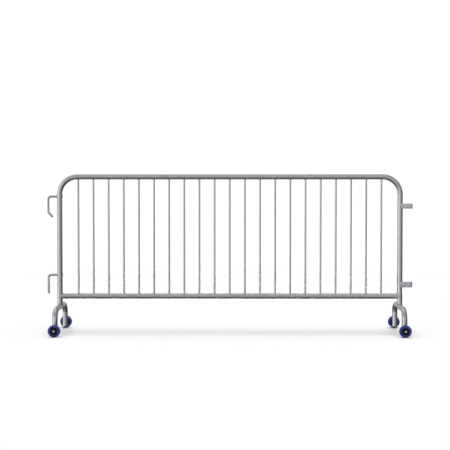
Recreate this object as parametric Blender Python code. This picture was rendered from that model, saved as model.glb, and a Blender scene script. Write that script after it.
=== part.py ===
"""Interlocking steel crowd control barrier on four rollers.

Units are metres, +Z is up.  The barrier stands in the XZ plane: X runs along
its length (hooks at -X, sleeves at +X) and Y across it.  The origin is on the
floor, under the centre of the bounding box.
"""

from math import cos, pi, radians, sin, sqrt, tan

import bmesh
import bpy
from mathutils import Matrix, Vector

# ----------------------------------------------------------------- dimensions
GAP = 0.0003                  # clearance left between pieces that touch

TUBE_OD = 0.0400              # hoop, bottom rail and feet
TUBE_WALL = 0.0016
POST_SPACING = 2.5510         # post centre to post centre
TOP_RAIL_Z = 1.1682           # axis of the top rail
CORNER_R = 0.1335             # centreline radius of the two top corners
BOTTOM_RAIL_Z = 0.2732        # axis of the bottom rail

PICKET_COUNT = 21
PICKET_PITCH = 0.1135
PICKET_OD = 0.0140
PICKET_WALL = 0.0012

FOOT_TOP_Z = 0.1937           # axis of the level part of each foot
FOOT_SPREAD = 0.4940          # leg centre to leg centre, along Y
FOOT_BEND_R = 0.0750
LEG_END_Z = 0.0160            # open lower end of each leg

HOOK_BAR = 0.0170             # round bar diameter
HOOK_REACH = 0.0852           # post axis to the bar's vertical run
HOOK_BEND_R = 0.0200
HOOK_STUB = 0.0025            # length left standing out behind the post
UPPER_HOOK_Z = 1.0203
UPPER_KINK_Z = 0.9032         # where the tip turns back towards the post
UPPER_LIP = (0.0335, 0.0368)  # run towards the post, and drop, of that tip
LOWER_HOOK_Z = 0.4324
LOWER_HOOK_END_Z = 0.2929

STRAP_HEIGHT = 0.0380         # the sleeves are flat strap bent into a U
STRAP_THICK = 0.0050
SLEEVE_REACH = 0.0910         # post axis to the sleeve's far face
SLEEVE_CORNER_R = 0.0120      # outer radius of the strap's bends
UPPER_SLEEVE_Z = 0.9490
LOWER_SLEEVE_Z = 0.3608

WHEEL_R = 0.0450
WHEEL_OFFSET = 0.0450         # leg axis to the wheel's middle plane
TYRE_WIDTH = 0.0312
CORE_R = 0.0282
HUB_R = 0.0130
HUB_BORE_R = 0.0085
SLEEVE_TUBE_R = 0.0080        # the fixed steel sleeve that a wheel turns on
BOLT_R = 0.00475
BOLT_HEAD_AF = 0.0143
BOLT_HEAD_H = 0.0062
WASHER_R = 0.0115
WASHER_THICK = 0.0020
SPACER_R = 0.0100
NUT_HEIGHT = 0.0088

TUBE_SEGMENTS = 20
FOOT_SEGMENTS = 16
PICKET_SEGMENTS = 12
BAR_SEGMENTS = 12
WHEEL_SEGMENTS = 24
BOLT_SEGMENTS = 12

# The box is centred on X = 0, so the posts sit slightly off it.
HOOK_SIDE = HOOK_REACH + HOOK_BAR / 2
FRAME_X = (HOOK_SIDE - SLEEVE_REACH) / 2
POST_X = {"left": FRAME_X - POST_SPACING / 2, "right": FRAME_X + POST_SPACING / 2}
TUBE_R = TUBE_OD / 2
COPE_R = TUBE_R + GAP         # radius that coped ends are cut to

X, Y, Z = Vector((1, 0, 0)), Vector((0, 1, 0)), Vector((0, 0, 1))

# ------------------------------------------------------------------ materials


def make_material(name, colour, roughness, metallic):
    mat = bpy.data.materials.new(name)
    mat.use_nodes = True
    bsdf = mat.node_tree.nodes["Principled BSDF"]
    bsdf.inputs["Base Color"].default_value = (*colour, 1)
    bsdf.inputs["Roughness"].default_value = roughness
    bsdf.inputs["Metallic"].default_value = metallic
    mat.diffuse_color = (*colour, 1)
    return mat


# -------------------------------------------------------------------- helpers


def new_object(name, mesh, location=(0, 0, 0), parent=None, turn=0.0):
    obj = bpy.data.objects.new(name, mesh)
    bpy.context.scene.collection.objects.link(obj)
    obj.parent = parent
    obj.location = location
    obj.rotation_euler = (0, 0, turn)
    return obj


def finish_mesh(bm, name, material, sharp=32):
    bmesh.ops.recalc_face_normals(bm, faces=bm.faces)
    mesh = bpy.data.meshes.new(name)
    bm.to_mesh(mesh)
    bm.free()
    mesh.materials.append(material)
    mesh.shade_smooth()
    mesh.set_sharp_from_angle(angle=radians(sharp))
    return mesh


def circle(radius, count):
    """Points of a regular polygon with a vertex on each axis."""
    return [
        (radius * cos(2 * pi * i / count), radius * sin(2 * pi * i / count))
        for i in range(count)
    ]


def hexagon(across_flats, count):
    """A hexagon walked at equal angles, so that it matches a circle's count."""
    points = []
    for i in range(count):
        a = 2 * pi * i / count
        off = (a % (pi / 3)) - pi / 6
        r = across_flats / 2 / cos(off)
        points.append((r * cos(a), r * sin(a)))
    return points


def place(section, centre, u, v):
    return [centre + u * x + v * y for x, y in section]


def loft(bm, rings, wrap=False):
    """Quads between equal rings.  wrap joins the last ring to the first, as in
    a tube; otherwise both ends are capped."""
    rows = [[bm.verts.new(p) for p in ring] for ring in rings]
    count = len(rows[0])
    pairs = list(zip(rows, rows[1:]))
    if wrap:
        pairs.append((rows[-1], rows[0]))
    for a, b in pairs:
        for i in range(count):
            j = (i + 1) % count
            bm.faces.new((a[i], a[j], b[j], b[i]))
    if not wrap:
        bm.faces.new(rows[0][::-1])
        bm.faces.new(rows[-1])


def arc(centre, start, end, steps):
    """Points on the quarter or part turn from centre+start to centre+end."""
    angle = start.angle(end)
    axis = start.cross(end).normalized()
    return [
        (
            centre + Matrix.Rotation(angle * i / steps, 3, axis) @ start,
            (Matrix.Rotation(angle * i / steps, 3, axis) @ start).normalized(),
        )
        for i in range(steps + 1)
    ]


def tube(bm, stations, side, r_out, r_in, count, ends=(None, None)):
    """A hollow tube through stations of (centre, outward normal).  side is the
    direction square to the plane of the bends.  ends holds a function for each
    end that slides a point along the tube onto the surface it is coped to."""
    skins = []
    for r in (r_out, r_in):
        rings = [place(circle(r, count), c, n, side) for c, n in stations]
        if ends[0]:
            rings[0] = [ends[0](p) for p in rings[0]]
        if ends[1]:
            rings[-1] = [ends[1](p) for p in rings[-1]]
        skins.append(rings)
    loft(bm, skins[0] + skins[1][::-1], wrap=True)


def cope_down(axis_z, axis_x=None, sign=1):
    """Slides a point along Z onto a level cylinder of radius COPE_R.  The
    cylinder runs along X, or along Y when axis_x gives its place."""

    def slide(p):
        off = p.y if axis_x is None else p.x - axis_x
        return Vector((p.x, p.y, axis_z + sign * sqrt(COPE_R**2 - off**2)))

    return slide


def cope_across(axis_x, sign):
    """Slides a point along X onto an upright cylinder of radius COPE_R."""

    def slide(p):
        return Vector((axis_x + sign * sqrt(COPE_R**2 - p.y**2), p.y, p.z))

    return slide


def cylinder_cutter(name, centre, axis, radius, length, segments):
    """A cylinder whose flats lie at radius, kept out of the build."""
    bm = bmesh.new()
    turn = Z.rotation_difference(axis).to_matrix().to_4x4()
    r = radius / cos(pi / segments)
    bmesh.ops.create_cone(
        bm, cap_ends=True, segments=segments, radius1=r, radius2=r, depth=length,
        matrix=turn,
    )
    bmesh.ops.recalc_face_normals(bm, faces=bm.faces)
    mesh = bpy.data.meshes.new(name)
    bm.to_mesh(mesh)
    bm.free()
    obj = new_object(name, mesh, centre)
    obj.hide_render = True
    obj.display_type = "WIRE"
    return obj


def cut(obj, cutter):
    mod = obj.modifiers.new("cut_" + cutter.name, "BOOLEAN")
    mod.operation = "DIFFERENCE"
    mod.solver = "EXACT"
    mod.object = cutter


def spin_profile(bm, profile, segments):
    """Turns a closed (radius, y) profile about Y.  It starts half a step from
    the bottom, so that a flat of the polygon lies there."""
    a = pi / segments
    verts = [bm.verts.new((r * sin(a), y, -r * cos(a))) for r, y in profile]
    edges = [
        bm.edges.new((verts[i], verts[(i + 1) % len(verts)]))
        for i in range(len(verts))
    ]
    bmesh.ops.spin(
        bm, geom=verts + edges, cent=(0, 0, 0), axis=(0, 1, 0), angle=2 * pi,
        steps=segments, use_merge=True, use_duplicate=False,
    )
    bmesh.ops.remove_doubles(bm, verts=bm.verts, dist=1e-6)


# ----------------------------------------------------------------- the pieces


def build_hoop(mat):
    """Both posts and the top rail are one bent tube."""
    left, right = POST_X["left"], POST_X["right"]
    bend_z = TOP_RAIL_Z - CORNER_R
    stations = [(Vector((left, 0, FOOT_TOP_Z)), -X)]
    stations += arc(Vector((left + CORNER_R, 0, bend_z)), -X * CORNER_R, Z * CORNER_R, 7)
    stations += arc(Vector((right - CORNER_R, 0, bend_z)), Z * CORNER_R, X * CORNER_R, 7)
    stations += [(Vector((right, 0, FOOT_TOP_Z)), X)]
    bm = bmesh.new()
    tube(
        bm, stations, Y, TUBE_R, TUBE_R - TUBE_WALL, TUBE_SEGMENTS,
        (cope_down(FOOT_TOP_Z, left), cope_down(FOOT_TOP_Z, right)),
    )
    return new_object("frame_hoop", finish_mesh(bm, "frame_hoop", mat))


def build_bottom_rail(mat):
    left, right = POST_X["left"], POST_X["right"]
    stations = [(Vector((x, 0, BOTTOM_RAIL_Z)), Z) for x in (left, right)]
    bm = bmesh.new()
    tube(
        bm, stations, Y, TUBE_R, TUBE_R - TUBE_WALL, TUBE_SEGMENTS,
        (cope_across(left, 1), cope_across(right, -1)),
    )
    return new_object("bottom_rail", finish_mesh(bm, "bottom_rail", mat))


def build_pickets(mat):
    """Upright infill tubes, saddled onto both rails."""
    bm = bmesh.new()
    r = PICKET_OD / 2
    stations = [(Vector((0, 0, z)), X) for z in (BOTTOM_RAIL_Z, TOP_RAIL_Z)]
    tube(
        bm, stations, Y, r, r - PICKET_WALL, PICKET_SEGMENTS,
        (cope_down(BOTTOM_RAIL_Z), cope_down(TOP_RAIL_Z, sign=-1)),
    )
    mesh = finish_mesh(bm, "picket", mat)
    for i in range(PICKET_COUNT):
        x = FRAME_X + (i - (PICKET_COUNT - 1) / 2) * PICKET_PITCH
        new_object(f"picket_{i + 1:02d}", mesh, (x, 0, 0))


def bar(bm, stations, radius, chamfer):
    """A solid round bar through stations, with both ends chamfered."""
    rings = [place(circle(radius, BAR_SEGMENTS), c, n, Y) for c, n in stations]
    start, normal = stations[0]
    back = (start - stations[1][0]).normalized()
    rings.insert(
        0, place(circle(radius - chamfer, BAR_SEGMENTS), start + back * chamfer, normal, Y)
    )
    end, normal = stations[-1]
    along = (end - stations[-2][0]).normalized()
    rings.append(
        place(circle(radius - chamfer, BAR_SEGMENTS), end + along * chamfer, normal, Y)
    )
    loft(bm, rings)


def build_hooks(mat, hoop):
    """Round bar that passes right through the left post."""
    post = POST_X["left"]
    x = post - HOOK_REACH
    r = HOOK_BEND_R
    chamfer = 0.0015

    def drop_from(arm_z):
        """The arm through the post and the bend that turns it down."""
        stub = post + TUBE_R + HOOK_STUB - chamfer
        stations = [(Vector((stub, 0, arm_z)), Z)]
        return stations + arc(Vector((x + r, 0, arm_z - r)), Z * r, -X * r, 5)

    # Upper hook: the tip is turned back towards the post.
    run, drop = UPPER_LIP
    lip = Vector((run, 0, -drop)).normalized()
    bend_r = 0.018
    turn = (-Z).angle(lip)
    lead = bend_r * tan(turn / 2)
    kink = Vector((x, 0, UPPER_KINK_Z))
    centre = kink + Z * lead + X * bend_r
    normal_end = Matrix.Rotation(-turn, 3, "Y") @ -X
    stations = drop_from(UPPER_HOOK_Z)
    stations += arc(centre, -X * bend_r, normal_end * bend_r, 3)
    tip = kink + lip * (Vector(UPPER_LIP).length - chamfer)
    stations.append((tip, normal_end))
    bm = bmesh.new()
    bar(bm, stations, HOOK_BAR / 2, chamfer)
    upper = new_object("hook_upper", finish_mesh(bm, "hook_upper", mat))

    # Lower hook: a plain drop pin.
    stations = drop_from(LOWER_HOOK_Z)
    stations.append((Vector((x, 0, LOWER_HOOK_END_Z + chamfer)), -X))
    bm = bmesh.new()
    bar(bm, stations, HOOK_BAR / 2, chamfer)
    lower = new_object("hook_lower", finish_mesh(bm, "hook_lower", mat))

    for obj, z in ((upper, UPPER_HOOK_Z), (lower, LOWER_HOOK_Z)):
        drill = cylinder_cutter(
            "drill_" + obj.name, (post, 0, z), X, HOOK_BAR / 2 + GAP, 2 * TUBE_OD, 24
        )
        cut(hoop, drill)


def build_sleeves(mat):
    """Flat strap bent into a U around the post, closed at the far end."""
    half = COPE_R + STRAP_THICK / 2
    r = SLEEVE_CORNER_R - STRAP_THICK / 2
    far = SLEEVE_REACH - STRAP_THICK / 2
    section = [
        (a * STRAP_THICK / 2, b * STRAP_HEIGHT / 2)
        for a, b in ((-1, -1), (1, -1), (1, 1), (-1, 1))
    ]
    stations = [(Vector((0, -half, 0)), -Y)]
    stations += arc(Vector((far - r, -half + r, 0)), -Y * r, X * r, 5)
    stations += arc(Vector((far - r, half - r, 0)), X * r, Y * r, 5)
    stations += [(Vector((0, half, 0)), Y)]
    bm = bmesh.new()
    loft(bm, [place(section, c, n, Z) for c, n in stations])
    mesh = finish_mesh(bm, "sleeve", mat)
    new_object("sleeve_upper", mesh, (POST_X["right"], 0, UPPER_SLEEVE_Z))
    new_object("sleeve_lower", mesh, (POST_X["right"], 0, LOWER_SLEEVE_Z))


def build_feet(mat):
    """Bridge feet: one tube bent into an arch across the barrier."""
    y, r = FOOT_SPREAD / 2, FOOT_BEND_R
    bend_z = FOOT_TOP_Z - r
    stations = [(Vector((0, -y, LEG_END_Z)), -Y)]
    stations += arc(Vector((0, -y + r, bend_z)), -Y * r, Z * r, 5)
    stations += arc(Vector((0, y - r, bend_z)), Z * r, Y * r, 5)
    stations += [(Vector((0, y, LEG_END_Z)), Y)]
    bm = bmesh.new()
    tube(bm, stations, X, TUBE_R, TUBE_R - TUBE_WALL, FOOT_SEGMENTS)
    mesh = finish_mesh(bm, "foot", mat)
    for side, x in POST_X.items():
        foot = new_object("foot_" + side, mesh, (x, 0, 0))
        for where, sign in (("front", -1), ("rear", 1)):
            drill = cylinder_cutter(
                f"axle_hole_{where}_{side}", (x, sign * y, WHEEL_R), Y,
                BOLT_R + GAP, 2 * TUBE_OD, BOLT_SEGMENTS,
            )
            cut(foot, drill)


def ring_piece(bm, y0, y1, r_out, r_in, count, outer=None, chamfer=0.0, saddle=0.0):
    """A washer, sleeve or nut along Y.  saddle copes the y1 end onto the leg
    tube, whose axis is upright and lies beyond that end."""
    section = outer or circle(r_out, count)
    small = [(px * (1 - chamfer / r_out), pz * (1 - chamfer / r_out)) for px, pz in section]
    rows = [place(small if chamfer else section, Vector((0, y0, 0)), X, Z)]
    if chamfer:
        rows.append(place(section, Vector((0, y0 + chamfer, 0)), X, Z))
    rows.append(place(section, Vector((0, y1, 0)), X, Z))
    rows.append(place(circle(r_in, count), Vector((0, y1, 0)), X, Z))
    rows.append(place(circle(r_in, count), Vector((0, y0, 0)), X, Z))
    if saddle:
        for k in (-3, -2):
            rows[k] = [Vector((p.x, -sqrt(saddle**2 - p.x**2), p.z)) for p in rows[k]]
    loft(bm, rows, wrap=True)


def build_wheels(steel, zinc, blue, black):
    """Four rollers, each bolted to the outer side of a leg.  Every station is
    modelled with the leg's axis at Y = 0 and the wheel towards -Y."""
    hub_face = TYRE_WIDTH / 2
    inner = -(WHEEL_OFFSET - hub_face)          # hub face beside the leg
    outer = -(WHEEL_OFFSET + hub_face)          # hub face beside the bolt head
    float_gap = 0.0005

    w, rw, rc = hub_face, WHEEL_R / cos(pi / WHEEL_SEGMENTS), CORE_R + GAP
    bm = bmesh.new()
    half = [(rc, -w + 0.0012), (rc + 0.0040, -w), (rw - 0.0050, -w + 0.0004),
            (rw - 0.0014, -w + 0.0026), (rw, -w + 0.0060)]
    spin_profile(bm, half + [(r, -y) for r, y in reversed(half)], WHEEL_SEGMENTS)
    tyre = finish_mesh(bm, "tyre", blue)

    bm = bmesh.new()
    rim, web = CORE_R - 0.0046, 0.0060
    half = [(HUB_BORE_R, -w), (HUB_R - 0.0006, -w), (HUB_R + 0.0006, -web),
            (rim - 0.0006, -web), (rim + 0.0006, -w + 0.0014), (CORE_R, -w + 0.0014)]
    spin_profile(bm, half + [(r, -y) for r, y in reversed(half)], WHEEL_SEGMENTS)
    core = finish_mesh(bm, "wheel_core", black)

    bm = bmesh.new()
    ring_piece(bm, inner + float_gap, -TUBE_R, SPACER_R, BOLT_R + GAP, BOLT_SEGMENTS,
               saddle=COPE_R)
    spacer = finish_mesh(bm, "leg_spacer", zinc)

    bm = bmesh.new()
    ring_piece(bm, outer - float_gap, inner + float_gap - GAP, SLEEVE_TUBE_R,
               BOLT_R + GAP + 0.0001, BOLT_SEGMENTS)
    sleeve = finish_mesh(bm, "axle_sleeve", zinc)

    washer_y = outer - float_gap - GAP
    bm = bmesh.new()
    ring_piece(bm, washer_y - WASHER_THICK, washer_y, WASHER_R, BOLT_R + GAP,
               BOLT_SEGMENTS, chamfer=0.0004)
    washer = finish_mesh(bm, "axle_washer", black)

    head_y = washer_y - WASHER_THICK - GAP
    nut_y = TUBE_R + GAP
    bolt_end = nut_y + NUT_HEIGHT + 0.0030
    hexa = hexagon(BOLT_HEAD_AF, BOLT_SEGMENTS)
    round_ = circle(BOLT_R, BOLT_SEGMENTS)
    face = [(px * 0.90, pz * 0.90) for px, pz in circle(BOLT_HEAD_AF / 2, BOLT_SEGMENTS)]
    tip = [(px * 0.82, pz * 0.82) for px, pz in round_]
    bm = bmesh.new()
    loft(bm, [
        place(face, Vector((0, head_y - BOLT_HEAD_H, 0)), X, Z),
        place(hexa, Vector((0, head_y - BOLT_HEAD_H + 0.0012, 0)), X, Z),
        place(hexa, Vector((0, head_y, 0)), X, Z),
        place(round_, Vector((0, head_y, 0)), X, Z),
        place(round_, Vector((0, bolt_end - 0.0010, 0)), X, Z),
        place(tip, Vector((0, bolt_end, 0)), X, Z),
    ])
    bolt = finish_mesh(bm, "axle_bolt", zinc)

    bm = bmesh.new()
    ring_piece(bm, nut_y + NUT_HEIGHT, nut_y, BOLT_HEAD_AF / 2, BOLT_R + GAP, BOLT_SEGMENTS,
               outer=hexa)
    nut = finish_mesh(bm, "lock_nut", zinc)

    for where, sign in (("front", -1), ("rear", 1)):
        for side, x in POST_X.items():
            tag = f"{where}_{side}"
            station = new_object(
                "axle_" + tag, None, (x, sign * FOOT_SPREAD / 2, WHEEL_R),
                turn=0.0 if sign < 0 else pi,
            )
            centre = (0, -WHEEL_OFFSET, 0)
            new_object("tyre_" + tag, tyre, centre, station)
            new_object("wheel_core_" + tag, core, centre, station)
            new_object("leg_spacer_" + tag, spacer, parent=station)
            new_object("axle_sleeve_" + tag, sleeve, parent=station)
            new_object("axle_washer_" + tag, washer, parent=station)
            new_object("axle_bolt_" + tag, bolt, parent=station)
            new_object("lock_nut_" + tag, nut, parent=station)


def main():
    for obj in list(bpy.data.objects):
        bpy.data.objects.remove(obj, do_unlink=True)

    galvanised = make_material("galvanised_steel", (0.60, 0.62, 0.64), 0.42, 0.9)
    zinc = make_material("zinc_plated_steel", (0.72, 0.73, 0.75), 0.28, 1.0)
    blue = make_material("blue_tyre", (0.045, 0.055, 0.30), 0.5, 0.0)
    black = make_material("black_plastic", (0.012, 0.012, 0.014), 0.55, 0.0)

    hoop = build_hoop(galvanised)
    build_bottom_rail(galvanised)
    build_pickets(galvanised)
    build_hooks(galvanised, hoop)
    build_sleeves(galvanised)
    build_feet(galvanised)
    build_wheels(galvanised, zinc, blue, black)


main()
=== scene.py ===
"""Looks for the crowd control barrier: smooth meshes, welds, materials, light and camera."""

import bpy
import numpy as np
from mathutils import Matrix, Vector


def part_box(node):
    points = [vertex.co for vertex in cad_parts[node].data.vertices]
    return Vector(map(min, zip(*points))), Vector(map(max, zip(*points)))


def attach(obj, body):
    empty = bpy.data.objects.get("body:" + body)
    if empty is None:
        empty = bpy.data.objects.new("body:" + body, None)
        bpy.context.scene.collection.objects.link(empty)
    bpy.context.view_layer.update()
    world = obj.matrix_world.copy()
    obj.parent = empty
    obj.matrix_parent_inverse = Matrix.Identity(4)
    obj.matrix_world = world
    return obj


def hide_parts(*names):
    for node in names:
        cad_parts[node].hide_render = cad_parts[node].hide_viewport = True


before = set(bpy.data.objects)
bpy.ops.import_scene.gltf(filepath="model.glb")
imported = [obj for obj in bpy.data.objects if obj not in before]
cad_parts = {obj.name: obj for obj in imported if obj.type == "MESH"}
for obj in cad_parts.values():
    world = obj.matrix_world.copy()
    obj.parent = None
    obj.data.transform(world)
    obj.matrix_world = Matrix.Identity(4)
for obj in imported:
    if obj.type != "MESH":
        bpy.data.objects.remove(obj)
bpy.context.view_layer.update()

TAU = 2 * np.pi
X, Y, Z = np.eye(3)


def mid(node):
    lo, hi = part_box(node)
    return (np.array(lo) + np.array(hi)) / 2


# ---------------------------------------------------------------- dimensions
hoop_lo, hoop_hi = (np.array(v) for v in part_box("frame_hoop"))
rail_lo, rail_hi = (np.array(v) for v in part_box("bottom_rail"))
foot_lo, foot_hi = (np.array(v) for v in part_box("foot_left"))
R = (hoop_hi[1] - hoop_lo[1]) / 2                 # tube radius
WALL = 0.0016
POST = {"left": hoop_lo[0] + R, "right": hoop_hi[0] - R}
MID_X = (POST["left"] + POST["right"]) / 2
TOP_Z = hoop_hi[2] - R
CORNER = 0.1335
RAIL_Z = (rail_lo[2] + rail_hi[2]) / 2
FOOT_Z = foot_hi[2] - R
LEG_Y = foot_hi[1] - R
LEG_END = foot_lo[2]
FOOT_BEND = 0.075
WHEEL_Z = mid("wheel_core_front_left")[2]
WHEEL_Y = mid("wheel_core_rear_left")[1]
WHEEL_R = WHEEL_Z
rng = np.random.default_rng(41)


# -------------------------------------------------------------------- meshes
class Build:
    """Collects vertices and faces of one piece."""

    def __init__(self):
        self.v, self.f = [], []
        self.n = 0

    def add(self, verts, faces):
        verts = np.asarray(verts, float).reshape(-1, 3)
        self.v.append(verts)
        self.f += [tuple(int(i) + self.n for i in f) for f in faces]
        self.n += len(verts)

    def rows(self, rows, wrap=False, cap=False, flip=False):
        """Quads between equal closed rings; wrap joins last to first."""
        rows = np.asarray(rows, float)
        m, n = rows.shape[:2]
        faces = []
        for i in range(m if wrap else m - 1):
            a, b = i * n, ((i + 1) % m) * n
            for j in range(n):
                k = (j + 1) % n
                faces.append((a + j, a + k, b + k, b + j))
        if cap:
            faces.append(tuple(range(n))[::-1])
            faces.append(tuple((m - 1) * n + j for j in range(n)))
        if flip:
            faces = [f[::-1] for f in faces]
        self.add(rows.reshape(-1, 3), faces)

    def mesh(self, name, sharp=40):
        import bmesh

        mesh = bpy.data.meshes.new(name)
        mesh.from_pydata(np.concatenate(self.v).tolist(), [], self.f)
        bm = bmesh.new()
        bm.from_mesh(mesh)
        bmesh.ops.recalc_face_normals(bm, faces=bm.faces)
        bm.to_mesh(mesh)
        bm.free()
        mesh.validate()
        mesh.shade_smooth()
        mesh.set_sharp_from_angle(angle=np.radians(sharp))
        return mesh


def piece(name, build, material, body="frame", nodes=(), sharp=40):
    obj = bpy.data.objects.new(name, build.mesh(name, sharp))
    bpy.context.scene.collection.objects.link(obj)
    obj.data.materials.append(material)
    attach(obj, body)
    if nodes:
        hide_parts(*nodes)
    return obj


def unit(v):
    v = np.asarray(v, float)
    return v / np.maximum(np.linalg.norm(v, axis=-1, keepdims=True), 1e-12)


def ring(c, n, s, rn, rs=None, count=64):
    a = np.arange(count) / count * TAU
    rs = rn if rs is None else rs
    return c + np.outer(np.cos(a) * rn, n) + np.outer(np.sin(a) * rs, s)


def arc(centre, start, end, steps):
    """(point, outward normal, share through the bend) on a quarter-like turn."""
    r = np.linalg.norm(start)
    u, w = start / r, end / np.linalg.norm(end)
    total = np.arccos(np.clip(u @ w, -1, 1))
    v = unit(w - u * (u @ w))
    out = []
    for i in range(steps + 1):
        t = total * i / steps
        d = u * np.cos(t) + v * np.sin(t)
        out.append((centre + d * r, d, i / steps))
    return out


def straight(a, b, n, count):
    return [(a + (b - a) * t, n, 0.0) for t in np.linspace(0, 1, count)]


def swept(stations, side, radius, count, oval=0.0):
    """Rings along stations; the section goes slightly oval inside a bend."""
    rows = []
    for c, n, t in stations:
        o = oval * np.sin(np.pi * t) if 0 < t < 1 else 0.0
        rows.append(ring(c, n, side, radius * (1 - o), radius * (1 + 0.6 * o), count))
    return np.array(rows)


def bead(build, path, out, radius, seed, closed=True, count=10, squash=0.85, pitch=0.0016):
    """A weld bead along path: overlapping ripples, a little uneven.  out points
    away from the corner that the weld fills."""
    path, out = np.asarray(path, float), np.asarray(out, float)
    local = np.random.default_rng(seed)
    if closed:
        tangent = unit(np.roll(path, -1, 0) - np.roll(path, 1, 0))
        length = np.linalg.norm(np.roll(path, -1, 0) - path, axis=1).sum()
    else:
        tangent = unit(np.gradient(path, axis=0))
        length = np.linalg.norm(np.diff(path, axis=0), axis=1).sum()
    out = unit(out - tangent * (out * tangent).sum(1, keepdims=True))
    across = np.cross(tangent, out)
    m = len(path)
    s = np.arange(m) / m
    ripples = max(3, round(length / pitch))
    phase = (s * ripples) % 1.0
    wave = 1.0 - 0.16 * phase**2
    slow = sum(
        local.uniform(0.02, 0.07) * np.sin(TAU * (k * s + local.random())) for k in (1, 2, 3, 5)
    )
    r = radius * (wave + slow)
    if not closed:
        ends = np.clip(np.minimum(s, 1 - s) * length / (1.3 * radius), 0, 1)
        r = r * np.sqrt(np.clip(ends * (2 - ends), 0.02, 1))
    a = np.arange(count) / count * TAU
    rows = (
        path[:, None, :]
        + r[:, None, None] * (np.cos(a)[None, :, None] * across[:, None, :]
                              + squash * np.sin(a)[None, :, None] * out[:, None, :])
    )
    build.rows(rows, wrap=closed, cap=not closed)


def stations_for(length, pitch=0.0016, per=4):
    return int(max(24, round(length / pitch) * per))


# ------------------------------------------------------------------ materials
class Nodes:
    """Short hand for building a material's node tree."""

    def __init__(self, name):
        self.mat = bpy.data.materials.new(name)
        self.mat.use_nodes = True
        self.tree = self.mat.node_tree
        self.bsdf = self.tree.nodes["Principled BSDF"]

    def new(self, kind, **values):
        node = self.tree.nodes.new(kind)
        for key, value in values.items():
            if hasattr(node, key):
                setattr(node, key, value)
            else:
                node.inputs[key.replace("_", " ")].default_value = value
        return node

    def link(self, a, b):
        self.tree.links.new(a, b)

    def coords(self, scale=(1, 1, 1)):
        tc = self.new("ShaderNodeTexCoord")
        mapping = self.new("ShaderNodeMapping")
        mapping.inputs["Scale"].default_value = scale
        self.link(tc.outputs["Object"], mapping.inputs["Vector"])
        return mapping.outputs["Vector"]

    def noise(self, vector, scale, detail=4.0, rough=0.55, distort=0.0):
        n = self.new("ShaderNodeTexNoise")
        n.inputs["Scale"].default_value = scale
        n.inputs["Detail"].default_value = detail
        n.inputs["Roughness"].default_value = rough
        n.inputs["Distortion"].default_value = distort
        self.link(vector, n.inputs["Vector"])
        return n.outputs["Fac"]

    def voronoi(self, vector, scale, feature="F1", output="Color", random=1.0):
        n = self.new("ShaderNodeTexVoronoi")
        n.feature = feature
        n.inputs["Scale"].default_value = scale
        n.inputs["Randomness"].default_value = random
        self.link(vector, n.inputs["Vector"])
        return n.outputs[output]

    def remap(self, value, lo, hi, out_lo, out_hi):
        n = self.new("ShaderNodeMapRange")
        n.inputs["From Min"].default_value = lo
        n.inputs["From Max"].default_value = hi
        n.inputs["To Min"].default_value = out_lo
        n.inputs["To Max"].default_value = out_hi
        self.link(value, n.inputs["Value"])
        return n.outputs["Result"]

    def math(self, op, a, b):
        n = self.new("ShaderNodeMath")
        n.operation = op
        for i, v in enumerate((a, b)):
            if isinstance(v, (int, float)):
                n.inputs[i].default_value = v
            else:
                self.link(v, n.inputs[i])
        return n.outputs[0]

    def ramp(self, value, stops):
        n = self.new("ShaderNodeValToRGB")
        e = n.color_ramp.elements
        while len(e) > 1:
            e.remove(e[-1])
        e[0].position, e[0].color = stops[0][0], (*stops[0][1], 1)
        for pos, colour in stops[1:]:
            s = e.new(pos)
            s.color = (*colour, 1)
        self.link(value, n.inputs["Fac"])
        return n.outputs["Color"]

    def mix(self, factor, a, b, blend="MIX"):
        n = self.new("ShaderNodeMix")
        n.data_type = "RGBA"
        n.blend_type = blend
        for socket, v in ((n.inputs[0], factor), (n.inputs[6], a), (n.inputs[7], b)):
            if isinstance(v, (int, float)):
                socket.default_value = v
            elif isinstance(v, tuple):
                socket.default_value = (*v, 1)
            else:
                self.link(v, socket)
        return n.outputs[2]

    def bump(self, height, strength, distance, normal=None):
        n = self.new("ShaderNodeBump")
        n.inputs["Strength"].default_value = strength
        n.inputs["Distance"].default_value = distance
        self.link(height, n.inputs["Height"])
        if normal is not None:
            self.link(normal, n.inputs["Normal"])
        return n.outputs["Normal"]


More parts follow.
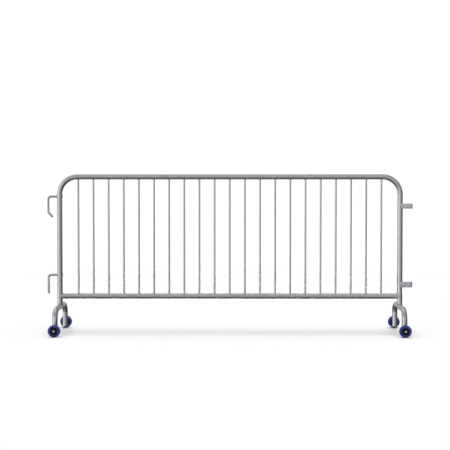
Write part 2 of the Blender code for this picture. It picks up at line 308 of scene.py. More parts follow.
def galvanised(name, tint=(0.66, 0.68, 0.71), rough=0.19, weld=False, tilt_by=0.02):
    """Hot-dip zinc: faint crystals, cloudy tone, small runs and pits."""
    m = Nodes(name)
    v = m.coords()
    cloud = m.noise(v, 16.0, 5.0, 0.6, 0.6)
    fine = m.noise(v, 420.0, 3.0, 0.6)
    grain = m.noise(v, 120.0, 4.0, 0.6)
    cell = m.voronoi(v, 115.0)
    sep = m.new("ShaderNodeSeparateColor")
    m.link(cell, sep.inputs[0])
    crystal = sep.outputs[0]
    tone = m.math("ADD", m.math("MULTIPLY", crystal, 0.45), m.math("MULTIPLY", cloud, 0.9))
    dark = tuple(c * (0.80 if not weld else 0.62) for c in tint)
    light = tuple(min(1.0, c * 1.12) for c in tint)
    base = m.ramp(tone, [(0.30, dark), (0.62, tint), (1.0, light)])
    speck = m.remap(fine, 0.60, 0.78, 0.0, 0.30)
    base = m.mix(speck, base, tuple(c * 0.66 for c in tint))
    m.link(base, m.bsdf.inputs["Base Color"])
    r = m.math("ADD", m.remap(cloud, 0.3, 0.7, rough - 0.05, rough + 0.08),
               m.math("MULTIPLY", crystal, 0.07 if not weld else 0.15))
    m.link(r, m.bsdf.inputs["Roughness"])
    # Each zinc crystal mirrors the room at a slightly different tilt.
    geo = m.new("ShaderNodeNewGeometry")
    half = m.new("ShaderNodeVectorMath", operation="SUBTRACT")
    m.link(cell, half.inputs[0])
    half.inputs[1].default_value = (0.5, 0.5, 0.5)
    small = m.new("ShaderNodeVectorMath", operation="SCALE")
    m.link(half.outputs[0], small.inputs[0])
    small.inputs["Scale"].default_value = tilt_by
    tilt = m.new("ShaderNodeVectorMath", operation="ADD")
    m.link(geo.outputs["Normal"], tilt.inputs[0])
    m.link(small.outputs[0], tilt.inputs[1])
    level = m.new("ShaderNodeVectorMath", operation="NORMALIZE")
    m.link(tilt.outputs[0], level.inputs[0])
    n = m.bump(grain, 0.10 if not weld else 0.35, 0.0006, level.outputs[0])
    n = m.bump(fine, 0.06, 0.0002, n)
    m.link(n, m.bsdf.inputs["Normal"])
    m.bsdf.inputs["Metallic"].default_value = 1.0
    return m.mat


def zinc_plate(name):
    m = Nodes(name)
    v = m.coords()
    cloud = m.noise(v, 60.0, 4.0)
    fine = m.noise(v, 900.0, 3.0)
    base = m.ramp(cloud, [(0.3, (0.80, 0.81, 0.80)), (0.55, (0.90, 0.91, 0.92)), (0.8, (0.94, 0.94, 0.92))])
    m.link(base, m.bsdf.inputs["Base Color"])
    m.link(m.remap(fine, 0.3, 0.7, 0.14, 0.28), m.bsdf.inputs["Roughness"])
    m.link(m.bump(fine, 0.12, 0.0001), m.bsdf.inputs["Normal"])
    m.bsdf.inputs["Metallic"].default_value = 1.0
    return m.mat


def blue_rubber(name):
    m = Nodes(name)
    v = m.coords()
    cloud = m.noise(v, 45.0, 5.0, 0.6)
    fine = m.noise(v, 700.0, 4.0, 0.6)
    base = m.ramp(cloud, [(0.25, (0.040, 0.054, 0.28)), (0.55, (0.056, 0.076, 0.38)), (0.85, (0.078, 0.104, 0.44))])
    dust = m.remap(fine, 0.56, 0.80, 0.0, 0.22)
    base = m.mix(dust, base, (0.16, 0.17, 0.36))
    m.link(base, m.bsdf.inputs["Base Color"])
    m.link(m.remap(cloud, 0.3, 0.7, 0.38, 0.56), m.bsdf.inputs["Roughness"])
    m.link(m.bump(fine, 0.22, 0.00025), m.bsdf.inputs["Normal"])
    m.bsdf.inputs["Specular IOR Level"].default_value = 0.30
    return m.mat


def black_plastic(name, lift=1.0, gloss=0.22):
    m = Nodes(name)
    v = m.coords()
    cloud = m.noise(v, 70.0, 4.0)
    fine = m.noise(v, 1300.0, 3.0)
    base = m.ramp(cloud, [(0.3, (0.006 * lift, 0.006 * lift, 0.0065 * lift)), (0.7, (0.014 * lift, 0.014 * lift, 0.0145 * lift))])
    m.link(m.mix(m.remap(fine, 0.58, 0.8, 0.0, 0.25), base, (0.045, 0.045, 0.045)), m.bsdf.inputs["Base Color"])
    m.link(m.remap(fine, 0.3, 0.7, 0.34, 0.52), m.bsdf.inputs["Roughness"])
    m.link(m.bump(fine, 0.3, 0.00012), m.bsdf.inputs["Normal"])
    m.bsdf.inputs["Specular IOR Level"].default_value = gloss
    return m.mat


STEEL = galvanised("galvanised_tube")
STEEL_FOOT = galvanised("galvanised_foot", rough=0.14)
STEEL_BAR = galvanised("galvanised_bar", tint=(0.60, 0.62, 0.65), rough=0.24)
STEEL_STRAP = galvanised("galvanised_strap", tint=(0.68, 0.70, 0.74), rough=0.20, tilt_by=0.07)
STEEL_WELD = galvanised("galvanised_weld", tint=(0.60, 0.61, 0.63), rough=0.34, weld=True)
ZINC = zinc_plate("zinc_plate")
BLUE = blue_rubber("blue_tyre_rubber")
BLACK = black_plastic("black_core_plastic")
BLACK_WASHER = black_plastic("black_washer_plastic", lift=2.2, gloss=0.5)

# ------------------------------------------------------------------- the frame
SEG = 72
PSEG = 36


def cope_z(rows, index, axis_z, sign, radius, along="x", centre=0.0):
    p = rows[index]
    off = p[:, 1] if along == "x" else p[:, 0] - centre
    p[:, 2] = axis_z + sign * np.sqrt(np.maximum(radius**2 - off**2, 0))


def cope_x(rows, index, axis_x, sign, radius):
    p = rows[index]
    p[:, 0] = axis_x + sign * np.sqrt(np.maximum(radius**2 - p[:, 1] ** 2, 0))


def hoop():
    left, right = POST["left"], POST["right"]
    bz = TOP_Z - CORNER
    st = straight(np.array([left, 0, FOOT_Z]), np.array([left, 0, bz]), -X, 12)[:-1]
    st += arc(np.array([left + CORNER, 0, bz]), -X * CORNER, Z * CORNER, 28)
    st += straight(np.array([left + CORNER, 0, TOP_Z]), np.array([right - CORNER, 0, TOP_Z]), Z, 24)[1:-1]
    st += arc(np.array([right - CORNER, 0, bz]), Z * CORNER, X * CORNER, 28)
    st += straight(np.array([right, 0, bz]), np.array([right, 0, FOOT_Z]), X, 12)[1:]
    b = Build()
    outer = swept(st, Y, R, SEG, 0.018)
    inner = swept(st, Y, R - WALL, SEG, 0.018)
    for rows in (outer, inner):
        cope_z(rows, 0, FOOT_Z, 1, R + 0.0001, "y", left)
        cope_z(rows, -1, FOOT_Z, 1, R + 0.0001, "y", right)
    b.rows(np.concatenate([outer, inner[::-1]]), wrap=True)
    return piece("frame_hoop_tube", b, STEEL, nodes=["frame_hoop"])


def rail():
    left, right = POST["left"], POST["right"]
    st = straight(np.array([left, 0, RAIL_Z]), np.array([right, 0, RAIL_Z]), Z, 30)
    outer, inner = swept(st, Y, R, SEG), swept(st, Y, R - WALL, SEG)
    for rows in (outer, inner):
        cope_x(rows, 0, left, 1, R + 0.0001)
        cope_x(rows, -1, right, -1, R + 0.0001)
    b = Build()
    b.rows(np.concatenate([outer, inner[::-1]]), wrap=True)
    return piece("bottom_rail_tube", b, STEEL, nodes=["bottom_rail"])


def pickets():
    names = sorted(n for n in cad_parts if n.startswith("picket_"))
    for name in names:
        lo, hi = (np.array(v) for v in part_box(name))
        x, r = (lo[0] + hi[0]) / 2, (hi[0] - lo[0]) / 2
        st = straight(np.array([x, 0, RAIL_Z]), np.array([x, 0, TOP_Z]), X, 10)
        outer, inner = swept(st, Y, r, PSEG), swept(st, Y, r - 0.0012, PSEG)
        for rows in (outer, inner):
            cope_z(rows, 0, RAIL_Z, 1, R + 0.0001)
            cope_z(rows, -1, TOP_Z, -1, R + 0.0001)
        b = Build()
        b.rows(np.concatenate([outer, inner[::-1]]), wrap=True)
        piece(name + "_tube", b, STEEL, nodes=[name])
    return names


def picket_welds(names):
    for label, axis_z, sign in (("top", TOP_Z, -1), ("bottom", RAIL_Z, 1)):
        b = Build()
        for i, name in enumerate(names):
            lo, hi = (np.array(v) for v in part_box(name))
            x, r = (lo[0] + hi[0]) / 2, (hi[0] - lo[0]) / 2
            n = stations_for(TAU * r)
            a = (np.arange(n) / n + rng.random()) * TAU
            px, py = np.cos(a) * (r + 0.0006), np.sin(a) * (r + 0.0006)
            pz = axis_z + sign * (np.sqrt(R**2 - py**2) + 0.0004)
            path = np.stack([x + px, py, pz], 1)
            out_p = np.stack([np.cos(a), np.sin(a), 0 * a], 1)
            out_r = np.stack([0 * a, py / R, sign * np.sqrt(1 - (py / R) ** 2)], 1)
            bead(b, path, unit(out_p + out_r), 0.0019 + 0.0003 * rng.random(), 100 + i + (50 if sign > 0 else 0))
        piece(f"welds_pickets_{label}", b, STEEL_WELD, sharp=60)


def joint_curve(n, r_small, r_big):
    """Where a tube along +W meets one along V, both through the origin: (u, v, w)."""
    a = np.arange(n) / n * TAU
    u, v = np.cos(a) * r_small, np.sin(a) * r_small
    w = np.sqrt(np.maximum(r_big**2 - v**2, 0))
    return a, u, v, w


def main_welds():
    # Bottom rail into the posts.  V is Y: the rail meets the post on a saddle.
    b = Build()
    n = stations_for(TAU * R * 1.35)
    for side, sign in (("left", 1), ("right", -1)):
        a, u, v, w = joint_curve(n, R + 0.0005, R + 0.0012)
        path = np.stack([POST[side] + sign * w, v, RAIL_Z + u], 1)
        out_rail = np.stack([0 * a, np.sin(a), np.cos(a)], 1)
        out_post = np.stack([sign * w, v, 0 * a], 1) / R
        bead(b, path, unit(out_rail + unit(out_post)), 0.0027, 7 if sign > 0 else 8, pitch=0.0019)
    piece("welds_rail_to_posts", b, STEEL_WELD, sharp=60)
    # Posts onto the feet.
    b = Build()
    for side in POST:
        a, u, v, w = joint_curve(n, R + 0.0005, R + 0.0012)
        path = np.stack([POST[side] + v, u, FOOT_Z + w], 1)
        out_post = np.stack([np.sin(a), np.cos(a), 0 * a], 1)
        out_foot = np.stack([v, 0 * a, w], 1) / R
        bead(b, path, unit(out_post + unit(out_foot)), 0.0029, 17 if side == "left" else 18, pitch=0.0019)
    piece("welds_posts_to_feet", b, STEEL_WELD, sharp=60)


def foot(side):
    x, y, r = POST[side], LEG_Y, FOOT_BEND
    bz = FOOT_Z - r
    st = straight(np.array([x, -y, LEG_END]), np.array([x, -y, bz]), -Y, 8)[:-1]
    st += arc(np.array([x, -y + r, bz]), -Y * r, Z * r, 24)
    st += straight(np.array([x, -y + r, FOOT_Z]), np.array([x, y - r, FOOT_Z]), Z, 12)[1:-1]
    st += arc(np.array([x, y - r, bz]), Z * r, Y * r, 24)
    st += straight(np.array([x, y, bz]), np.array([x, y, LEG_END]), Y, 8)[1:]
    outer, inner = swept(st, X, R, SEG, 0.03), swept(st, X, R - WALL, SEG, 0.03)
    b = Build()
    b.rows(np.concatenate([outer, inner[::-1]]), wrap=True)
    return piece(f"foot_{side}_tube", b, STEEL_FOOT, nodes=[f"foot_{side}"])


low_lo, low_hi = (np.array(v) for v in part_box("hook_lower"))
BAR_R = (low_hi[1] - low_lo[1]) / 2
HOOK_X = low_lo[0] + BAR_R                         # axis of the upright run
STUB_X = low_hi[0]                                 # end behind the post
HOOK_BEND, KINK_Z, KINK_BEND, LIP = 0.020, 0.9032, 0.018, np.array([0.0335, 0, -0.0368])


def rounded_bar(st, radius, count=28, nose=0.0022):
    """A solid bar with a small rolled edge at both ends."""
    rows = list(swept(st, Y, radius, count))

    def cap(end, n, along):
        out = []
        for i in range(1, 6):
            t = i / 5 * np.pi / 2
            out.append(ring(end + along * nose * np.sin(t), n, Y, radius - nose * (1 - np.cos(t)), count=count))
        out.append(ring(end + along * nose, n, Y, (radius - nose) * 0.5, count=count))
        return out

    first = cap(st[0][0], st[0][1], unit(st[0][0] - st[1][0]))
    last = cap(st[-1][0], st[-1][1], unit(st[-1][0] - st[-2][0]))
    return np.array(first[::-1] + rows + last)


def hooks():
    post, nose = POST["left"], 0.0022
    bend = HOOK_BEND
    for name in ("hook_upper", "hook_lower"):
        lo, hi = (np.array(v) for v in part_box(name))
        z = hi[2] - BAR_R
        st = straight(np.array([STUB_X - nose, 0, z]), np.array([HOOK_X + bend, 0, z]), Z, 9)[:-1]
        st += [(c, n, 0.0) for c, n, t in arc(np.array([HOOK_X + bend, 0, z - bend]), Z * bend, -X * bend, 16)]
        if name == "hook_upper":
            lip = unit(LIP)
            turn = np.arccos(lip @ -Z)
            lead = KINK_BEND * np.tan(turn / 2)
            kink = np.array([HOOK_X, 0, KINK_Z])
            centre = kink + Z * lead + X * KINK_BEND
            n_end = np.array([-np.cos(turn), 0, -np.sin(turn)])
            st += straight(st[-1][0], np.array([HOOK_X, 0, KINK_Z + lead]), -X, 5)[1:-1]
            st += [(c, n, 0.0) for c, n, t in arc(centre, -X * KINK_BEND, n_end * KINK_BEND, 10)]
            st += straight(st[-1][0], kink + lip * (np.linalg.norm(LIP) - nose), n_end, 4)[1:]
        else:
            st += straight(st[-1][0], np.array([HOOK_X, 0, lo[2] + nose]), -X, 6)[1:]
        b = Build()
        b.rows(rounded_bar(st, BAR_R, 32, nose), cap=True)
        piece(name + "_bar", b, STEEL_BAR, nodes=[name])
        # Welds round the bar where it enters and leaves the post.
        n = stations_for(TAU * BAR_R)
        a = np.arange(n) / n * TAU
        rr = BAR_R + 0.0007
        py, pz = np.sin(a) * rr, np.cos(a) * rr
        w = Build()
        for sign, radius in ((-1, 0.0026), (1, 0.0021)):
            px = post + sign * (np.sqrt(R**2 - py**2) + 0.0005)
            path = np.stack([px, py, z + pz], 1)
            out_bar = np.stack([0 * a, np.sin(a), np.cos(a)], 1)
            out_post = np.stack([sign * np.sqrt(1 - (py / R) ** 2), py / R, 0 * a], 1)
            bead(w, path, unit(out_bar + out_post), radius, (31 if name == "hook_upper" else 33) + sign, pitch=0.0018)
        piece("weld_" + name, w, STEEL_WELD, sharp=60)


def sleeves():
    """Flat strap with rolled edges, bent into a U round the post."""
    thick = 0.005
    lo, hi = (np.array(v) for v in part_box("sleeve_upper"))
    height = hi[2] - lo[2]
    half = hi[1] - thick / 2
    r = 0.012 - thick / 2
    x0 = POST["right"]
    far = hi[0] - x0 - thick / 2
    edge = 0.0011
    corner = [(1, 1, 0), (-1, 1, 1), (-1, -1, 2), (1, -1, 3)]
    section = []
    for sx, sz, q in corner:
        cx, cz = sx * (thick / 2 - edge), sz * (height / 2 - edge)
        for i in range(5):
            t = (q + i / 4) * np.pi / 2
            section.append((cx + edge * np.cos(t), cz + edge * np.sin(t)))
    section = np.array(section)
    for name in ("sleeve_upper", "sleeve_lower"):
        z = mid(name)[2]
        st = straight(np.array([x0, -half, z]), np.array([x0 + far - r, -half, z]), -Y, 8)[:-1]
        st += arc(np.array([x0 + far - r, -half + r, z]), -Y * r, X * r, 12)
        st += straight(np.array([x0 + far, -half + r, z]), np.array([x0 + far, half - r, z]), X, 5)[1:-1]
        st += arc(np.array([x0 + far - r, half - r, z]), X * r, Y * r, 12)
        st += straight(np.array([x0 + far - r, half, z]), np.array([x0, half, z]), Y, 8)[1:]
        rows = np.array([c + np.outer(section[:, 0], n) + np.outer(section[:, 1], Z) for c, n, t in st])
        b = Build()
        b.rows(rows, cap=True)
        piece(name + "_strap", b, STEEL_STRAP, nodes=[name], sharp=35)
        # Welds: along the strap's end on the post, and on its two edges.
        w = Build()
        n = stations_for(height * 0.9)
        for sy in (-1, 1):
            t = np.linspace(-0.46, 0.46, n)
            path = np.stack([np.full(n, x0 - 0.0010), np.full(n, sy * (0.0208)), z + t * height], 1)
            out = np.tile(unit(np.array([-1.0, sy * 0.9, 0])), (n, 1))
            bead(w, path, out, 0.0026, 60 + sy + int(z * 10), closed=False, pitch=0.0018)
            for sz in (-1, 1):
                m = stations_for(0.012)
                s = np.linspace(0, 1, m)
                xs = x0 + 0.0005 + s * 0.0115
                ys = sy * (np.sqrt(R**2 - (xs - x0) ** 2) + 0.0009)
                path = np.stack([xs, ys, np.full(m, z + sz * (height / 2 + 0.0002))], 1)
                out = np.tile(unit(np.array([0, sy * 0.7, sz * 1.0])), (m, 1))
                bead(w, path, out, 0.0023, 80 + sy + 3 * sz + int(z * 10), closed=False, pitch=0.0018)
        piece("weld_" + name, w, STEEL_WELD, sharp=60)


# ------------------------------------------------------------------ the rollers
def turned(profile, count, cx, cy, cz, sign=1.0):
    """Rings of a closed (radius, y) profile turned about Y, as rows for wrap."""
    a = np.arange(count) / count * TAU + np.pi / count
    rows = []
    for r, y in profile:
        rows.append(np.stack([cx + r * np.sin(a), np.full(count, cy + sign * y), cz - r * np.cos(a)], 1))
    return np.array(rows)


def fillet(points, radii, steps=5):
    """A closed polyline with its corners rounded."""
    pts = [np.array(p, float) for p in points]
    out = []
    n = len(pts)
    for i, p in enumerate(pts):
        r = radii[i] if isinstance(radii, (list, tuple)) else radii
        if r <= 0:
            out.append(tuple(p))
            continue
        a, b = pts[i - 1] - p, pts[(i + 1) % n] - p
        la, lb = np.linalg.norm(a), np.linalg.norm(b)
        a, b = a / la, b / lb
        ang = np.arccos(np.clip(a @ b, -1, 1))
        d = min(r / np.tan(ang / 2), 0.48 * la, 0.48 * lb)
        p0, p1 = p + a * d, p + b * d
        for k in range(steps + 1):
            t = k / steps
            out.append(tuple((1 - t) ** 2 * p0 + 2 * t * (1 - t) * p + t**2 * p1))
    return out


WSEG = 96


def tyre_profile():
    w = 0.0156
    R0, rc = WHEEL_R, 0.0283
    one = [
        (rc, -w + 0.0012), (rc + 0.0010, -w + 0.0004), (rc + 0.0028, -w), (rc + 0.0044, -w),
        (rc + 0.0052, -w + 0.0011), (rc + 0.0090, -w + 0.0011), (rc + 0.0098, -w + 0.0002),
        (R0 - 0.0042, -w + 0.0006), (R0 - 0.0012, -w + 0.0030), (R0, -w + 0.0066),
    ]
    rad = [0.0, 0.0008, 0.0006, 0.0006, 0.0005, 0.0005, 0.0006, 0.0026, 0.0036, 0.004]
    both = one + [(r, -y) for r, y in reversed(one)]
    return fillet(both, rad + rad[::-1], 5)


def core_profile():
    """Rim, recessed web and hub."""
    w = 0.0156
    bore, hub, rim, rc = 0.0085, 0.0130, 0.0238, 0.0282
    web = 0.0058
    one = [
        (bore, -w + 0.0006), (bore + 0.0006, -w), (hub - 0.0008, -w), (hub + 0.0006, -web),
        (rim - 0.0010, -web), (rim + 0.0004, -w + 0.0010), (rc - 0.0006, -w + 0.0010), (rc, -w + 0.0018),
    ]
    rad = [0.0, 0.0004, 0.0008, 0.0012, 0.0012, 0.0006, 0.0005, 0.0]
    both = one + [(r, -y) for r, y in reversed(one)]
    return fillet(both, rad + rad[::-1], 4)


def hexagon(af, count, sharp=1.0):
    a = np.arange(count) / count * TAU
    off = (a % (np.pi / 3)) - np.pi / 6
    r = af / 2 / np.cos(off)
    return a, np.minimum(r, af / 2 / np.cos(np.pi / 6) * sharp)


def hex_rows(af, stations, cx, cz, sy, count=72, turn=0.0):
    """Rings (y, scale limit): limit caps the corner radius, as a turned chamfer does."""
    rows = []
    a, r = hexagon(af, count)
    for y, limit in stations:
        rr = np.minimum(r, limit)
        rows.append(np.stack([cx + rr * np.cos(a + turn), np.full(count, y * sy), cz + rr * np.sin(a + turn)], 1))
    return rows


def roller(where, side):
    tag = f"{where}_{side}"
    s = -1.0 if where == "front" else 1.0            # outward along Y
    cx = POST[side]
    leg = s * LEG_Y
    body = "wheel_" + tag
    wy = s * WHEEL_Y
    b = Build()
    b.rows(turned(tyre_profile(), WSEG, cx, wy, WHEEL_Z), wrap=True)
    piece(f"tyre_{tag}_rubber", b, BLUE, body, [f"tyre_{tag}"], 50)

    b = Build()
    b.rows(turned(core_profile(), WSEG, cx, wy, WHEEL_Z), wrap=True)
    # Ribs in the web's recess, on both faces.
    for face in (-1, 1):
        for k in range(8):
            t = (k + 0.5) / 8 * TAU
            d, e = np.array([np.cos(t), 0, np.sin(t)]), np.array([-np.sin(t), 0, np.cos(t)])
            rows = []
            for rr, h, wd in ((0.0128, 0.0038, 0.0013), (0.0150, 0.0040, 0.0010), (0.0200, 0.0036, 0.0010),
                              (0.0236, 0.0050, 0.0013)):
                base = np.array([cx, wy, WHEEL_Z]) + d * rr
                y0, y1 = face * 0.0050, face * (0.0058 + h)
                sec = [(-wd * 1.5, y0), (-wd * 0.9, y1 - face * 0.0004), (-wd * 0.5, y1),
                       (wd * 0.5, y1), (wd * 0.9, y1 - face * 0.0004), (wd * 1.5, y0)]
                rows.append([base + e * p + Y * q for p, q in sec])
            b.rows(np.array(rows), cap=True)
    piece(f"wheel_core_{tag}_moulding", b, BLACK, body, [f"wheel_core_{tag}"], 40)

    def at(d):
        """Y of a point d outward from the leg's axis."""
        return leg + s * d

    def lathe(name, profile, nodes, sharp=35, count=48, saddle=False, finish=(ZINC, "zinc_plated_steel")):
        a = np.arange(count) / count * TAU
        rows = np.array([
            np.stack([cx + r * np.cos(a), np.full(count, at(d)), WHEEL_Z + r * np.sin(a)], 1)
            for r, d in profile
        ])
        if saddle:
            for i, (r, d) in enumerate(profile):
                if d <= 0.0205:
                    rows[i][:, 1] = leg + s * np.sqrt(R**2 - (rows[i][:, 0] - cx) ** 2)
        q = Build()
        q.rows(rows, wrap=True)
        return piece(name, q, finish[0], "frame", nodes, sharp)

    lathe(f"leg_spacer_{tag}_part", [(0.0052, 0.0288), (0.0094, 0.0288), (0.0100, 0.0282), (0.0100, 0.0203), (0.0052, 0.0203)],
          [f"leg_spacer_{tag}"], saddle=True)
    lathe(f"axle_sleeve_{tag}_part", [(0.0052, 0.0291), (0.0077, 0.0291), (0.0080, 0.0294), (0.0080, 0.0607), (0.0077, 0.0610), (0.0052, 0.0610)],
          [f"axle_sleeve_{tag}"])
    lathe(f"axle_washer_{tag}_part", fillet([(0.0052, 0.0614), (0.0115, 0.0614), (0.0115, 0.0634), (0.0052, 0.0634)], 0.0005, 3),
          [f"axle_washer_{tag}"], finish=(BLACK_WASHER, "black_plastic"))

    # Hexagon bolt: chamfered head with a washer face, shank, and its end.
    af = 0.0143
    n = 72
    lo, hi = (np.array(v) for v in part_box(f"axle_bolt_{tag}"))
    head_end = max(abs(lo[1]), abs(hi[1])) - LEG_Y
    shank_end = LEG_Y - min(abs(lo[1]), abs(hi[1]))
    under = head_end - 0.0062
    a = np.arange(n) / n * TAU
    turn = rng.random() * TAU / 6

    def circ(r, d):
        return np.stack([cx + r * np.cos(a + turn), np.full(n, at(d)), WHEEL_Z + r * np.sin(a + turn)], 1)

    def hexr(limit, d):
        _, r = hexagon(af, n)
        rr = np.minimum(r, limit)
        return np.stack([cx + rr * np.cos(a + turn), np.full(n, at(d)), WHEEL_Z + rr * np.sin(a + turn)], 1)

    rows = [circ(0.0030, head_end - 0.0004), circ(0.0036, head_end - 0.0001), circ(0.0062, head_end),
            circ(0.0067, head_end - 0.0001)]
    for k in range(1, 6):
        rows.append(hexr(0.0067 + 0.0016 * k / 5, head_end - 0.0001 - 0.0010 * (k / 5) ** 0.8))
    rows += [hexr(1, head_end - 0.0030), hexr(1, under + 0.0005), hexr(0.0079, under + 0.0001),
             circ(0.0067, under), circ(0.00475, under), circ(0.00475, -0.0180)]
    turns = 13
    for k in range(turns):
        d0 = -0.0205 - k * 0.00085
        if d0 < -shank_end + 0.0015:
            break
        rows += [circ(0.00475, d0), circ(0.00435, d0 - 0.00045)]
    rows += [circ(0.0046, -shank_end + 0.0008), circ(0.0038, -shank_end)]
    q = Build()
    q.rows(np.array(rows), cap=True)
    piece(f"axle_bolt_{tag}_part", q, ZINC, "frame", [f"axle_bolt_{tag}"], 30)

    # Lock nut with its rounded collar.
    turn = rng.random() * TAU / 6
    base, top = -0.0204, -0.0291
    rows = [circ(0.0050, base), circ(0.0066, base), hexr(0.0079, base - 0.0004), hexr(1, base - 0.0009),
            hexr(1, base - 0.0058), hexr(0.0079, base - 0.0064), circ(0.0066, base - 0.0068),
            circ(0.0064, base - 0.0078), circ(0.0059, top + 0.0002), circ(0.0054, top), circ(0.0050, top)]
    q = Build()
    q.rows(np.array(rows), wrap=True)
    piece(f"lock_nut_{tag}_part", q, ZINC, "frame", [f"lock_nut_{tag}"], 30)


hoop()
rail()
names = pickets()
picket_welds(names)
main_welds()
for side in POST:
    foot(side)
hooks()
sleeves()
for where in ("front", "rear"):
    for side in POST:
        roller(where, side)

# ------------------------------------------------- floor, light and the camera
def make_floor():
    mesh = bpy.data.meshes.new("floor")
    s = 7.0
    mesh.from_pydata([(-s, -s, 0), (s, -s, 0), (s, s, 0), (-s, s, 0)], [], [(0, 1, 2, 3)])
    obj = bpy.data.objects.new("floor", mesh)
    bpy.context.scene.collection.objects.link(obj)
    m = Nodes("studio_floor")
    m.bsdf.inputs["Base Color"].default_value = (0.86, 0.86, 0.86, 1)
    m.bsdf.inputs["Roughness"].default_value = 0.9
    m.bsdf.inputs["Specular IOR Level"].default_value = 0.0
    # The sheet thins out to nothing at its rim, so no edge shows against the room, and it has no underside.
    away = m.new("ShaderNodeVectorMath", operation="LENGTH")
    m.link(m.coords(), away.inputs[0])
    keep = m.remap(away.outputs["Value"], s * 0.72, s * 0.98, 1.0, 0.0)
    geo = m.new("ShaderNodeNewGeometry")
    keep = m.math("MULTIPLY", keep, m.math("SUBTRACT", 1.0, geo.outputs["Backfacing"]))
    clear, mix = m.new("ShaderNodeBsdfTransparent"), m.new("ShaderNodeMixShader")
    m.link(keep, mix.inputs[0])
    m.link(clear.outputs[0], mix.inputs[1])
    m.link(m.bsdf.outputs[0], mix.inputs[2])
    m.link(mix.outputs[0], m.mat.node_tree.nodes["Material Output"].inputs["Surface"])
    obj.data.materials.append(m.mat)
    obj.visible_glossy = False
    return obj


def lobe(tree, direction, vec, sharp, amount):
    d = unit(np.array(direction, float))
    dot = tree.nodes.new("ShaderNodeVectorMath")
    dot.operation = "DOT_PRODUCT"
    tree.links.new(vec, dot.inputs[0])
    dot.inputs[1].default_value = tuple(d)
    mx = tree.nodes.new("ShaderNodeMath")
    mx.operation = "MAXIMUM"
    tree.links.new(dot.outputs["Value"], mx.inputs[0])
    mx.inputs[1].default_value = 0.0
    pw = tree.nodes.new("ShaderNodeMath")
    pw.operation = "POWER"
    tree.links.new(mx.outputs[0], pw.inputs[0])
    pw.inputs[1].default_value = sharp
    mu = tree.nodes.new("ShaderNodeMath")
    mu.operation = "MULTIPLY"
    tree.links.new(pw.outputs[0], mu.inputs[0])
    mu.inputs[1].default_value = amount
    return mu.outputs[0]


LOBES = [
    # direction, level: a plain grey studio, set in round numbers
    ((-0.90, -0.40, 0.10), (1.30, 1.30, 1.30)),   # big soft box to the left
    ((0.00, -1.00, 0.10), (0.50, 0.50, 0.50)),    # front fill
    ((0.00, 0.00, 1.00), (0.70, 0.70, 0.70)),     # overhead
    ((-0.40, 0.60, 0.60), (0.70, 0.70, 0.70)),    # high at the back left
    ((0.60, -0.60, 0.40), (0.40, 0.40, 0.40)),    # weaker fill to the right
    ((0.50, 0.85, 0.10), (0.30, 0.30, 0.30)),     # room behind
    ((-0.40, 0.90, 0.00), (0.30, 0.30, 0.30)),
    ((0.00, -0.30, -1.00), (0.20, 0.20, 0.20)),   # bounce from below
]
SHARP = 5.0
BOX_X, BOX_Y, BOX_POWER = (0.1, 0.9), (0.45, 0.55), 5.07   # overhead soft box, as slopes
BOX_BACK = 0.06   # the box hangs this slope behind the barrier


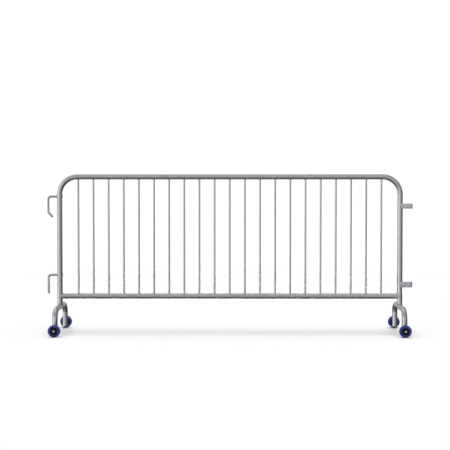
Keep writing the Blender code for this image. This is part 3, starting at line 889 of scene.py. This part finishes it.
def make_world():
    """Gloss sees broad soft boxes; matt surfaces are lit by one long box overhead."""
    world = bpy.data.worlds.new("studio")
    bpy.context.scene.world = world
    world.use_nodes = True
    world.cycles.sampling_method = "NONE"
    t = world.node_tree
    t.nodes.clear()
    out = t.nodes.new("ShaderNodeOutputWorld")
    tc = t.nodes.new("ShaderNodeTexCoord")

    def math(op, a, b):
        n = t.nodes.new("ShaderNodeMath")
        n.operation = op
        for i, v in enumerate((a, b)):
            if isinstance(v, (int, float)):
                n.inputs[i].default_value = v
            else:
                t.links.new(v, n.inputs[i])
        return n.outputs[0]

    def background(strength, colour=(1, 1, 1, 1)):
        n = t.nodes.new("ShaderNodeBackground")
        n.inputs["Color"].default_value = colour
        if isinstance(strength, (int, float)):
            n.inputs["Strength"].default_value = strength
        else:
            t.links.new(strength, n.inputs["Strength"])
        return n.outputs[0]

    def choose(factor, a, b):
        n = t.nodes.new("ShaderNodeMixShader")
        t.links.new(factor, n.inputs[0])
        t.links.new(a, n.inputs[1])
        t.links.new(b, n.inputs[2])
        return n.outputs[0]

    total = None
    for direction, colour in LOBES:
        here = t.nodes.new("ShaderNodeVectorMath")
        here.operation = "SCALE"
        here.inputs[0].default_value = colour
        t.links.new(lobe(t, direction, tc.outputs["Generated"], SHARP, 1.0), here.inputs["Scale"])
        if total is None:
            total = here.outputs[0]
        else:
            add = t.nodes.new("ShaderNodeVectorMath")
            t.links.new(total, add.inputs[0])
            t.links.new(here.outputs[0], add.inputs[1])
            total = add.outputs[0]
    n = t.nodes.new("ShaderNodeBackground")
    t.links.new(total, n.inputs["Color"])
    gloss = n.outputs[0]

    sep = t.nodes.new("ShaderNodeSeparateXYZ")
    t.links.new(tc.outputs["Generated"], sep.inputs[0])
    up = math("MAXIMUM", sep.outputs[2], 0.001)
    inside = None
    for axis, (full, none), middle in ((0, BOX_X, 0.0), (1, BOX_Y, BOX_BACK)):
        slope = math("SUBTRACT", math("DIVIDE", sep.outputs[axis], up), middle)
        slope = math("ABSOLUTE", slope, 0.0)
        ramp = t.nodes.new("ShaderNodeMapRange")
        ramp.interpolation_type = "SMOOTHSTEP"
        for key, value in (("From Min", full), ("From Max", none), ("To Min", 1.0), ("To Max", 0.0)):
            ramp.inputs[key].default_value = value
        t.links.new(slope, ramp.inputs["Value"])
        inside = ramp.outputs["Result"] if inside is None else math("MULTIPLY", inside, ramp.outputs["Result"])
    matt = background(math("MULTIPLY", inside, BOX_POWER))

    path = t.nodes.new("ShaderNodeLightPath")
    lit = choose(path.outputs["Is Glossy Ray"], matt, gloss)
    t.links.new(choose(path.outputs["Is Camera Ray"], lit, background(1.05)), out.inputs["Surface"])


def make_camera():
    """A long lens, a little to the right of the barrier's middle and turned to it."""
    cam = bpy.data.cameras.new("camera")
    obj = bpy.data.objects.new("camera", cam)
    bpy.context.scene.collection.objects.link(obj)
    cam.sensor_width = 36.0
    cam.lens = 88.0
    cam.clip_start, cam.clip_end = 0.05, 200.0
    yaw = np.radians(YAW)
    obj.location = (MID_X - 0.0351 + DISTANCE * np.sin(yaw), -DISTANCE * np.cos(yaw), 1.0872)
    obj.rotation_euler = (np.radians(90 - 1.947), 0, yaw)
    bpy.context.scene.camera = obj


YAW, DISTANCE = 0.42, 8.243
make_floor()
make_world()
make_camera()
bpy.context.scene.view_settings.view_transform = "Standard"
bpy.context.scene.view_settings.look = "None"
